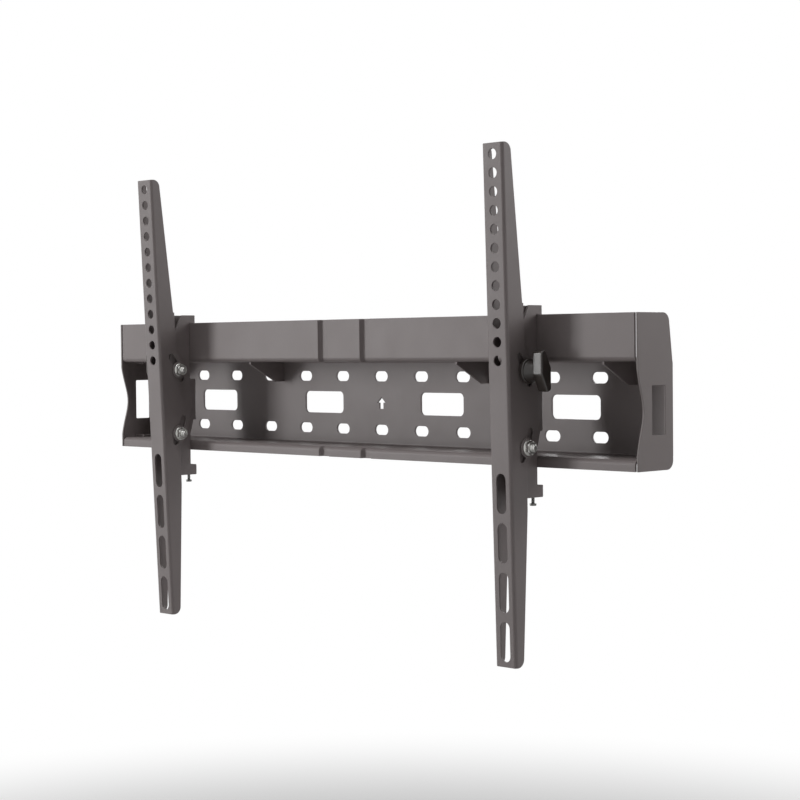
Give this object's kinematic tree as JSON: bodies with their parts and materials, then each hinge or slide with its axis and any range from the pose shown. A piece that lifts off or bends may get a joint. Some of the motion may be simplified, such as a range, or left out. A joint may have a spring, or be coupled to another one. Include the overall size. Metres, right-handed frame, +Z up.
{
  "type": "tilting television wall mount",
  "caption": "Tilting wall mount for a flat television: a folded steel wall plate with hooked, slotted arms that slide along it and tilt on clamped arc slots.",
  "frame": {"origin": "centre of the wall bolt pattern, on the face of the wall", "axes": "+X along the wall plate to the right as seen from the room, +Y into the wall, +Z up"},
  "size_m": [0.6662, 0.095, 0.422],
  "materials": {
    "powder_coat": "satin warm grey powder coat",
    "cap_plastic": "satin moulding in the colour of the metal, for the end caps and the washers",
    "zinc": "bright zinc plate",
    "knob_plastic": "satin black moulding"
  },
  "bodies": {
    "wall_frame": {"wall_plate": "powder_coat", "gusset_far_left": "powder_coat", "gusset_left": "powder_coat", "gusset_right": "powder_coat", "gusset_far_right": "powder_coat", "left_end_cap": "cap_plastic", "right_end_cap": "cap_plastic"},
    "left_carriage": {"left_hook_bracket": "powder_coat", "left_knob_nut_washer": "cap_plastic", "left_knob_nut": "zinc", "left_lower_bolt": "zinc", "left_lower_bolt_washer": "cap_plastic", "left_lower_nut_washer": "cap_plastic", "left_lower_nut": "zinc"},
    "left_arm": {"left_tv_arm": "powder_coat"},
    "left_knob": {"left_tilt_knob": "knob_plastic", "left_knob_bolt": "zinc", "left_knob_washer": "cap_plastic"},
    "left_lock": {"left_lock_screw": "zinc"},
    "right_carriage": {"right_hook_bracket": "powder_coat", "right_knob_nut_washer": "cap_plastic", "right_knob_nut": "zinc", "right_lower_bolt": "zinc", "right_lower_bolt_washer": "cap_plastic", "right_lower_nut_washer": "cap_plastic", "right_lower_nut": "zinc"},
    "right_arm": {"right_tv_arm": "powder_coat"},
    "right_knob": {"right_tilt_knob": "knob_plastic", "right_knob_bolt": "zinc", "right_knob_washer": "cap_plastic"},
    "right_lock": {"right_lock_screw": "zinc"}
  },
  "joints": [
    {"name": "left_carriage_slide", "type": "slide", "parent": "wall_frame", "child": "left_carriage", "axis": [1, 0, 0], "range_m": [-0.0679, 0.1856]},
    {"name": "left_arm_tilt", "type": "hinge", "parent": "left_carriage", "child": "left_arm", "pos_m": [-0.2296, -0.125, 0], "axis": [1, 0, 0], "range_deg": [-12.7, 7.3]},
    {"name": "left_knob_turn", "type": "hinge", "parent": "left_carriage", "child": "left_knob", "pos_m": [-0.2296, -0.0644, 0.03088], "axis": [1, 0, 0], "continuous": true},
    {"name": "left_lock_rise", "type": "slide", "parent": "left_carriage", "child": "left_lock", "axis": [0, 0, 1], "range_m": [0, 0.0052]},
    {"name": "right_carriage_slide", "type": "slide", "parent": "wall_frame", "child": "right_carriage", "axis": [1, 0, 0], "range_m": [-0.1768, 0.0767]},
    {"name": "right_arm_tilt", "type": "hinge", "parent": "right_carriage", "child": "right_arm", "pos_m": [0.2208, -0.125, 0], "axis": [1, 0, 0], "range_deg": [-11.6, 8.4]},
    {"name": "right_knob_turn", "type": "hinge", "parent": "right_carriage", "child": "right_knob", "pos_m": [0.2208, -0.0644, 0.03088], "axis": [1, 0, 0], "continuous": true},
    {"name": "right_lock_rise", "type": "slide", "parent": "right_carriage", "child": "right_lock", "axis": [0, 0, 1], "range_m": [0, 0.0052]}
  ]
}
